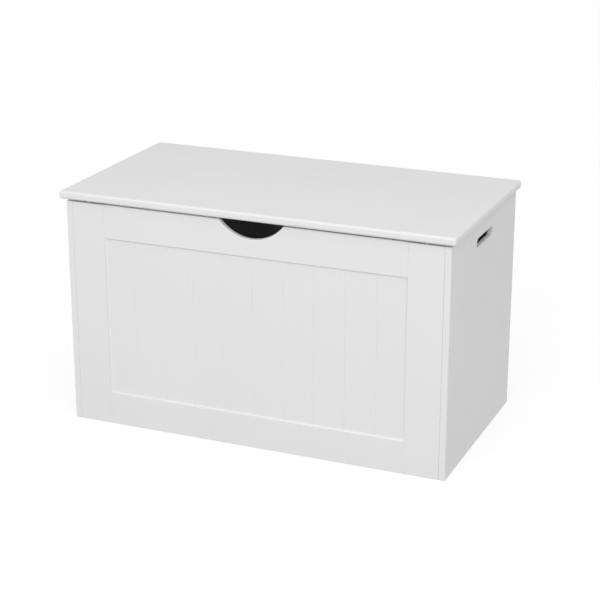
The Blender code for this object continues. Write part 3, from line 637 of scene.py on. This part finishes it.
def make_front_frame():
    """Two stiles and two rails with a hollow moulding round the opening and a rebate for the panel."""
    panel_low, panel_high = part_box("front_grooved_panel")
    reach = COVE_WIDTH + REBATE_CLEARANCE
    for side, prefix in SIDES:
        node = "front_" + prefix + "_stile"
        low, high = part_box(node)
        side_inner = abs(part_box(prefix + "_side_panel")[1 if side < 0 else 0].x)
        outer = side * (side_inner - JOINT_GAP)
        inner = side * OPENING_HALF
        stile = block(
            node + "_board", (min(outer, inner), low.y, low.z), (max(outer, inner), high.y, high.z)
        )
        combine(stile, cove_strip(
            OPENING_LOW, OPENING_HIGH,
            lambda run, inset, depth: (side * (OPENING_HALF - inset), low.y + depth, run),
        ), "UNION")
        edge_a = side * (OPENING_HALF + REBATE_WIDTH)
        edge_b = side * (OPENING_HALF - reach)
        combine(stile, block(
            "rebate", (min(edge_a, edge_b), low.y + RECESS_DEPTH, panel_low.z),
            (max(edge_a, edge_b), high.y + CUT_OVERRUN, panel_high.z),
        ))

        def stile_radius(middle, direction):
            if abs(middle.x) < OPENING_HALF - 0.1 * MM or abs(middle.y - low.y - RECESS_DEPTH) < MM:
                return 0
            if abs(direction.z) > 0.9 and abs(middle.x - outer) < MM:
                return SEAM_ROUND
            return JOINT_ROUND

        soften(stile, stile_radius, 3)
        finished(stile, "paint", "carcass", node)

    rail_half = OPENING_HALF - JOINT_GAP
    for node, inward in (("front_top_rail", -1), ("front_bottom_rail", 1)):
        low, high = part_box(node)
        edge_z = OPENING_HIGH if inward < 0 else OPENING_LOW
        if inward < 0:
            low.z = edge_z
        else:
            high.z = edge_z
        rail = block(node + "_board", (-rail_half, low.y, low.z), (rail_half, high.y, high.z))
        combine(rail, cove_strip(
            -rail_half, rail_half, lambda run, inset, depth: (run, low.y + depth, edge_z + inward * inset)
        ), "UNION")
        edge_a = edge_z - inward * REBATE_WIDTH
        edge_b = edge_z + inward * reach
        combine(rail, block(
            "rebate", (-rail_half - CUT_OVERRUN, low.y + RECESS_DEPTH, min(edge_a, edge_b)),
            (rail_half + CUT_OVERRUN, high.y + CUT_OVERRUN, max(edge_a, edge_b)),
        ))
        if node == "front_top_rail":
            outline = notch_outline(high.z, high.z + 2 * CUT_OVERRUN)
            combine(rail, prism("notch", outline, "Y", low.y - CUT_OVERRUN, high.y + CUT_OVERRUN))

        def rail_radius(middle, direction):
            inset = (middle.z - edge_z) * inward
            if inset > 0.1 * MM or abs(middle.y - low.y - RECESS_DEPTH) < MM:
                return 0
            if node == "front_top_rail" and inset < -MM and abs(middle.x) < NOTCH_REACH:
                return NOTCH_ROUND
            if abs(abs(middle.x) - rail_half) < MM or inset > -MM:
                return JOINT_ROUND
            return SEAM_ROUND

        soften(rail, rail_radius, 4, 40)
        finished(rail, "paint", "carcass", node)


def make_grooved_panel():
    """The recessed panel: one sheet with nine V grooves, their shoulders eased."""
    low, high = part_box("front_grooved_panel")
    low.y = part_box("front_top_rail")[0].y + RECESS_DEPTH
    points = [(low.x, high.y), (low.x, low.y)]
    radii = [0, 0]
    for i in range(GROOVE_COUNT):
        x = (i - (GROOVE_COUNT - 1) / 2) * GROOVE_PITCH
        points += [(x - GROOVE_HALF_WIDTH, low.y), (x, low.y + GROOVE_DEPTH), (x + GROOVE_HALF_WIDTH, low.y)]
        radii += [GROOVE_SHOULDER_ROUND, GROOVE_BOTTOM_ROUND, GROOVE_SHOULDER_ROUND]
    points += [(high.x, low.y), (high.x, high.y)]
    radii += [0, 0]
    panel = prism("front_grooved_panel_board", fillet(points, radii, 4), "Z", low.z, high.z)
    finished(panel, "paint", "carcass", "front_grooved_panel")


def make_cam_caps():
    """Press-in caps over the cam locks that hold the front and back to the sides, on the inside."""
    front_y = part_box("front_left_stile")[1].y
    back_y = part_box("back_panel")[0].y
    inner_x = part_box("right_side_panel")[0].x
    profile = fillet(
        [(0, CAP_HEIGHT), (CAP_RADIUS - 1 * MM, CAP_HEIGHT), (CAP_RADIUS, CAP_RIM), (CAP_RADIUS, CAP_GAP),
         (0, CAP_GAP)],
        [0, 0.8 * MM, 0.3 * MM, 0, 0], 5,
    )
    for side, prefix in SIDES:
        for wall, y, sign in (("front", front_y, 1), ("back", back_y, -1)):
            for level, z in CAP_LEVELS:
                point = Vector((side * (inner_x - CAP_INSET), y, z))
                cap = turned(f"{prefix}_{wall}_cam_cap_{level}", profile, axis_place(point, "Y", sign))
                finished(cap, "cap", "carcass")


# ---------------------------------------------------------------- hinges and screws


def screw_cutter(point, facing):
    """A cutter that clears a countersunk head and a stretch of its shank."""
    head = HEAD_RADIUS + HOLE_GAP
    shank = SHANK_RADIUS + HOLE_GAP
    profile = [(0, HEAD_ROOM), (head, HEAD_ROOM), (head, 0), (shank, -HEAD_DEPTH), (shank, -HOLE_DEPTH),
               (0, -HOLE_DEPTH)]
    return turned("hole", profile, Matrix.Translation(point) @ facing, 32)


def make_screws():
    """Cross-head countersunk screws, each where its CAD node is."""
    for node in frame["nodes"]:
        if "_screw_" not in node:
            continue
        low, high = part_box(node)
        middle = (low + high) / 2
        size = high - low
        if "_lid_" in node:
            point, aim = Vector((middle.x, middle.y, low.z)), Vector((0, 0, -1))
            length = size.z
        elif "_side_" in node:
            sign = 1 if middle.x > 0 else -1
            point = Vector((min(abs(low.x), abs(high.x)) * sign, middle.y, middle.z))
            aim = Vector((-sign, 0, 0))
            length = size.x
        else:
            point, aim = Vector((middle.x, middle.y, high.z)), Vector((0, 0, 1))
            length = size.z
        turn = aim.to_track_quat("Z", "Y").to_matrix().to_4x4()
        place = Matrix.Translation(point) @ turn
        profile = fillet(
            [(0, 0), (HEAD_RADIUS, 0), (HEAD_RADIUS, -HEAD_RIM), (SHANK_RADIUS, -HEAD_DEPTH),
             (SHANK_RADIUS, -length + SCREW_TIP), (0, -length)],
            [0, 0.12 * MM, 0, 0.3 * MM, 0, 0], 3,
        )
        screw = turned(node + "_fine", profile, place, 32)
        for turn_angle in (0, math.pi / 2):
            slot = block(
                "cross", (-CROSS_HALF_LENGTH, -CROSS_HALF_WIDTH, -CROSS_DEPTH),
                (CROSS_HALF_LENGTH, CROSS_HALF_WIDTH, HEAD_ROOM)
            )
            slot.data.transform(place @ Matrix.Rotation(turn_angle + CROSS_TURN, 4, "Z"))
            combine(screw, slot)
        finished(screw, "zinc", "lid" if "_lid_" in node else "carcass", node)


def hinge_holes(prefix, kind):
    """Where the screws of one hinge leaf sit, from the screws' own boxes."""
    holes = []
    for place in ("inner", "outer"):
        low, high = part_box(f"{prefix}_hinge_{kind}_screw_{place}")
        z = high.z if kind == "frame" else low.z
        holes.append(Vector(((low.x + high.x) / 2, (low.y + high.y) / 2, z)))
    return holes


def make_hinges(axis_point):
    """Two butt hinges: rolled knuckles, countersunk holes and a riveted pin."""
    up = Matrix.Identity(4)
    down = Matrix.Rotation(math.pi, 4, "X")
    for _, prefix in SIDES:
        for kind, own, facing, body in (("frame", 0, up, "carcass"), ("lid", 1, down, "lid")):
            node = f"{prefix}_hinge_{kind}_leaf"
            low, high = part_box(node)
            length = high.x - low.x
            plate_edge = axis_point.y - KNUCKLE_RADIUS - KNUCKLE_CLEARANCE
            low_z = low.z if kind == "frame" else high.z - LEAF_THICKNESS
            outline = fillet(
                rectangle((low.x, low.y), (high.x, plate_edge)), [LEAF_CORNER, LEAF_CORNER, 0, 0], 6
            )
            leaf = prism(node + "_fine", outline, "Z", low_z, low_z + LEAF_THICKNESS)
            pitch = length / KNUCKLES
            for i in range(KNUCKLES):
                if i % 2 != own:
                    continue
                start = low.x + i * pitch + KNUCKLE_GAP / 2
                end = start + pitch - KNUCKLE_GAP
                tab = block(
                    "tab", (start, plate_edge - 1 * MM, low_z), (end, axis_point.y, low_z + LEAF_THICKNESS)
                )
                combine(leaf, tab, "UNION")
                place = axis_place(Vector((start, axis_point.y, axis_point.z)), "X")
                knuckle = turned(
                    "knuckle", rod_profile(KNUCKLE_RADIUS, 0, end - start, KNUCKLE_EDGE, 3), place, 40
                )
                combine(leaf, knuckle, "UNION")
            centre = Vector((low.x - CUT_OVERRUN, axis_point.y, axis_point.z))
            bore_profile = rod_profile(PIN_BORE, 0, length + 2 * CUT_OVERRUN, 0)
            combine(leaf, turned("bore", bore_profile, axis_place(centre, "X"), 28))
            for point in hinge_holes(prefix, kind):
                combine(leaf, screw_cutter(point, facing))
            finished(leaf, "nickel", body, node)
        node = prefix + "_hinge_pin"
        low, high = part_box(node)
        end = high.x - low.x
        profile = fillet(
            [(0, end), (PIN_HEAD_RADIUS, end), (PIN_HEAD_RADIUS, end - PIN_HEAD_LENGTH),
             (PIN_RADIUS, end - PIN_HEAD_LENGTH), (PIN_RADIUS, PIN_HEAD_LENGTH),
             (PIN_HEAD_RADIUS, PIN_HEAD_LENGTH), (PIN_HEAD_RADIUS, 0), (0, 0)],
            [0, 0.6 * MM, 0.1 * MM, 0, 0, 0.1 * MM, 0.6 * MM, 0], 5,
        )
        pin = turned(
            node + "_fine", profile, axis_place(Vector((low.x, axis_point.y, axis_point.z)), "X"), 32
        )
        finished(pin, "nickel", "carcass", node)


# ---------------------------------------------------------------- gas struts


def strut_eye(node, place, neck_end, body):
    """An end fitting with a barrel round the pivot and a tapered neck."""
    sign = 1 if neck_end > 0 else -1
    turn = Matrix.Rotation(math.pi / 2, 4, "Y")
    barrel = turned(
        node + "_fine", rod_profile(EYE_RADIUS, -EYE_WIDTH / 2, EYE_WIDTH / 2, 0.7 * MM), place @ turn, 48
    )
    neck_start = sign * EYE_NECK_START
    neck_profile = rod_profile(
        EYE_NECK_RADIUS, min(neck_start, neck_end), max(neck_start, neck_end), 0.4 * MM, 3
    )
    combine(barrel, turned("neck", neck_profile, place, 40), "UNION")
    bore_profile = rod_profile(ROD_RADIUS + PIVOT_CLEARANCE, -EYE_WIDTH, EYE_WIDTH, 0)
    combine(barrel, turned("bore", bore_profile, place @ turn, 40))
    finished(barrel, "plastic", body, node)


def pivot_stages(target, side, pivot, root):
    """The shouldered pivot pin that a bracket carries, with a domed head."""
    strut_x = abs(pivot.x)
    head = strut_x - EYE_WIDTH / 2 - PIVOT_OVERRUN - PIVOT_HEAD_LENGTH
    shoulder = strut_x + EYE_WIDTH / 2 + PIVOT_OVERRUN
    place = axis_place(Vector((0, pivot.y, pivot.z)), "X", side)
    profile = fillet(
        [(0, root), (PIVOT_HEAD_RADIUS, root), (PIVOT_HEAD_RADIUS, shoulder), (ROD_RADIUS, shoulder),
         (ROD_RADIUS, head + PIVOT_HEAD_LENGTH), (PIVOT_HEAD_RADIUS, head + PIVOT_HEAD_LENGTH),
         (PIVOT_HEAD_RADIUS, head), (0, head)],
        [0, 0, 0.3 * MM, 0, 0, 0.2 * MM, 1.1 * MM, 0], 4,
    )
    combine(target, turned("pivot", profile, place, 40), "UNION")


def make_side_bracket(side, prefix, pivot):
    """The plate and pin that carry a strut's lower end."""
    node = prefix + "_strut_side_bracket"
    low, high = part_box(node)
    outer = max(abs(low.x), abs(high.x))
    inner = outer - BRACKET_THICKNESS
    outline = fillet(rectangle((low.y, low.z), (high.y, high.z)), BRACKET_CORNER, 8)
    faces = sorted((side * inner, side * outer))
    plate = prism(node + "_fine", outline, "X", faces[0], faces[1])
    soften(plate, 0.35 * MM, 3, 60)
    pivot_stages(plate, side, pivot, inner + 0.5 * MM)
    facing = axis_place(Vector((0, 0, 0)), "X", -side)
    for place in ("upper", "lower"):
        screw_low, screw_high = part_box(f"{prefix}_strut_side_screw_{place}")
        middle = (screw_low + screw_high) / 2
        combine(plate, screw_cutter(Vector((side * inner, middle.y, middle.z)), facing))
    finished(plate, "zinc", "carcass", node)


def make_lid_bracket(side, prefix, pivot):
    """The bent plate and pin that carry a strut's upper end."""
    node = prefix + "_strut_lid_bracket"
    low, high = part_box(node)
    near = min(abs(low.x), abs(high.x))
    far = max(abs(low.x), abs(high.x))
    top = high.z
    thick = BRACKET_THICKNESS
    points = [(side * near, top), (side * far, top), (side * far, pivot.z - EYE_RADIUS),
              (side * (far - thick), pivot.z - EYE_RADIUS), (side * (far - thick), top - thick),
              (side * near, top - thick)]
    radii = [BRACKET_EDGE, BRACKET_BEND, BRACKET_EDGE, BRACKET_EDGE, 2 * BRACKET_EDGE, BRACKET_EDGE]
    section = fillet(points, radii, 5)
    plate = prism(node + "_fine", section, "Y", low.y, high.y)
    for sign, edge in ((-1, low.y), (1, high.y)):
        start = pivot.y + sign * EYE_RADIUS
        trim = block(
            "trim",
            (min(side * (far - thick - 1 * MM), side * (far + 1 * MM)), min(start, edge + sign * MM),
             pivot.z - 2 * EYE_RADIUS),
            (max(side * (far - thick - 1 * MM), side * (far + 1 * MM)), max(start, edge + sign * MM),
             top - thick - 0.6 * MM),
        )
        combine(plate, trim)
    pivot_stages(plate, side, pivot, far - thick + 1 * MM)
    facing = Matrix.Rotation(math.pi, 4, "X")
    for place in ("front", "rear"):
        screw_low, screw_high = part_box(f"{prefix}_strut_lid_screw_{place}")
        middle = (screw_low + screw_high) / 2
        combine(plate, screw_cutter(Vector((middle.x, middle.y, screw_low.z)), facing))
    finished(plate, "zinc", "lid", node)


def make_struts(joints):
    """Both gas struts, with their end fittings and brackets."""
    for side, prefix in SIDES:
        base = Vector(joints[prefix + "_strut_base_pivot"]["pos_m"])
        top = Vector(joints[prefix + "_strut_lid_pivot"]["pos_m"])
        along = top - base
        length = along.length
        lean = Matrix.Rotation(math.atan2(-along.y, along.z), 4, "X")
        at_base = Matrix.Translation(base) @ lean
        at_top = Matrix.Translation(top) @ lean
        cylinder = prefix + "_strut_cylinder"
        piston_rod = prefix + "_strut_piston_rod"
        tube_end = length - TUBE_END_MARGIN
        bore = TUBE_RADIUS - TUBE_WALL

        node = prefix + "_strut_tube"
        profile = fillet(
            [(0, TUBE_START + TUBE_END_WALL), (bore, TUBE_START + TUBE_END_WALL), (bore, tube_end),
             (TUBE_RADIUS - TUBE_MOUTH_EDGE, tube_end), (TUBE_RADIUS, tube_end - CRIMP_START),
             (TUBE_RADIUS - CRIMP_DEPTH, tube_end - CRIMP_MIDDLE), (TUBE_RADIUS, tube_end - CRIMP_END),
             (TUBE_RADIUS, TUBE_START), (0, TUBE_START)],
            [0, 0, 0, 0.6 * MM, 0.8 * MM, 0.8 * MM, 0.8 * MM, 2.2 * MM, 0], 6,
        )
        finished(turned(node + "_fine", profile, at_base, 64), "enamel", cylinder, node)

        node = prefix + "_strut_rod_guide"
        near, far = ROD_RADIUS + GUIDE_CLEARANCE, bore - GUIDE_CLEARANCE
        ring = [(near, tube_end - GUIDE_SETBACK), (far, tube_end - GUIDE_SETBACK),
                (far, tube_end - GUIDE_DEPTH), (near, tube_end - GUIDE_DEPTH)]
        profile = fillet(ring, [0.5 * MM, 0.4 * MM, 0.2 * MM, 0.2 * MM], 4)
        finished(turned(node + "_fine", profile, at_base, 48), "plastic", cylinder, node)

        node = prefix + "_strut_rod"
        profile = rod_profile(ROD_RADIUS, ROD_START - length, -EYE_NECK - EYE_NECK_CLEARANCE, 0.5 * MM)
        finished(turned(node + "_fine", profile, at_top, 48), "chrome", piston_rod, node)

        strut_eye(prefix + "_strut_tube_eye", at_base, TUBE_START - EYE_NECK_CLEARANCE, cylinder)
        strut_eye(prefix + "_strut_rod_eye", at_top, -EYE_NECK, piston_rod)
        make_side_bracket(side, prefix, base)
        make_lid_bracket(side, prefix, top)


def make_bumpers():
    """Soft domed bumpers on the front corners."""
    for _, prefix in SIDES:
        node = prefix + "_lid_bumper"
        low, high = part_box(node)
        middle = (low + high) / 2
        radius = (high.x - low.x) / 2
        profile = fillet(
            [(0, high.z), (radius * 0.75, high.z), (radius, high.z - BUMPER_DOME), (radius, low.z),
             (0, low.z)],
            [0, 0.9 * MM, 1.2 * MM, 0.2 * MM, 0], 6,
        )
        place = Matrix.Translation((middle.x, middle.y, 0))
        finished(turned(node + "_fine", profile, place, 40), "rubber", "carcass", node)


# ---------------------------------------------------------------- studio


def aim_object(thing, azimuth, elevation, distance):
    """Put a camera or light at an angle and distance, facing the box's centre."""
    back = Vector((
        math.sin(azimuth) * math.cos(elevation), -math.cos(azimuth) * math.cos(elevation), math.sin(elevation)
    ))
    thing.location = CAMERA_AIM + back * distance
    thing.rotation_mode = "QUATERNION"
    thing.rotation_quaternion = (-back).to_track_quat("-Z", "Y")
    bpy.context.scene.collection.objects.link(thing)


def make_studio():
    """A pale floor, a bright surround that is brighter overhead, and the two softboxes."""
    corners = rectangle((-FLOOR_HALF_WIDTH, -FLOOR_HALF_WIDTH), (FLOOR_HALF_WIDTH, FLOOR_HALF_WIDTH))
    floor = prism("studio_floor", corners, "Z", FLOOR_BOTTOM, FLOOR_TOP)
    floor.data.materials.append(studio_floor("studio_floor"))
    floor.visible_diffuse = False
    floor.visible_shadow = False

    world = bpy.data.worlds.new("studio")
    bpy.context.scene.world = world
    world.use_nodes = True
    nodes, links = world.node_tree.nodes, world.node_tree.links
    direction = nodes.new("ShaderNodeTexCoord")
    tilt = nodes.new("ShaderNodeVectorMath")
    tilt.operation = "DOT_PRODUCT"
    tilt.inputs[1].default_value = TENT_TILT
    links.new(direction.outputs["Generated"], tilt.inputs[0])
    strength = nodes.new("ShaderNodeMath")
    strength.inputs[1].default_value = TENT_STRENGTH
    links.new(tilt.outputs["Value"], strength.inputs[0])
    links.new(strength.outputs[0], nodes["Background"].inputs["Strength"])
    nodes["Background"].inputs["Color"].default_value = (1, 1, 1, 1)

    for name, azimuth, power in SOFTBOXES:
        light = bpy.data.lights.new(name, "AREA")
        light.shape = "RECTANGLE"
        light.size, light.size_y = SOFTBOX_SIZE
        light.energy = power
        aim_object(bpy.data.objects.new(name, light), azimuth, SOFTBOX_ELEVATION, SOFTBOX_DISTANCE)
    bpy.context.scene.view_settings.view_transform = "Standard"


def make_camera():
    """The camera at the picture's viewing angle, aimed near the box's centre."""
    data = bpy.data.cameras.new("camera")
    data.lens = CAMERA_LENS
    data.sensor_width = SENSOR_WIDTH
    camera = bpy.data.objects.new("camera", data)
    aim_object(camera, CAMERA_AZIMUTH, CAMERA_ELEVATION, CAMERA_DISTANCE)
    bpy.context.scene.camera = camera


def dress_cad_nodes():
    """The CAD pieces whose shape stays: their materials."""
    kept = {
        # The back, bottom and hinge rail take the darker inside copy of the paint, which is painted shade
        "back_panel": "shaded_inside_paint", "bottom_panel": "shaded_inside_paint", "hinge_rail": "shaded_inside_paint",
        "left_floor_cleat": "pine_y", "right_floor_cleat": "pine_y",
        "front_floor_cleat": "pine_x", "rear_floor_cleat": "pine_x",
        "left_strut_piston": "plastic", "right_strut_piston": "plastic",
    }
    for node, look in kept.items():
        thing = frame["nodes"][node]
        for material_slot in thing.material_slots:
            material_slot.material = LOOKS[look]


make_camera()
make_studio()
dress_cad_nodes()
make_lid()
make_side_panels()
make_front_frame()
make_grooved_panel()
make_cam_caps()
make_bumpers()
make_screws()
hinge_joints = {joint["name"]: joint for joint in frame["joints"]}
make_hinges(Vector(hinge_joints["lid_hinge"]["pos_m"]))
make_struts(hinge_joints)
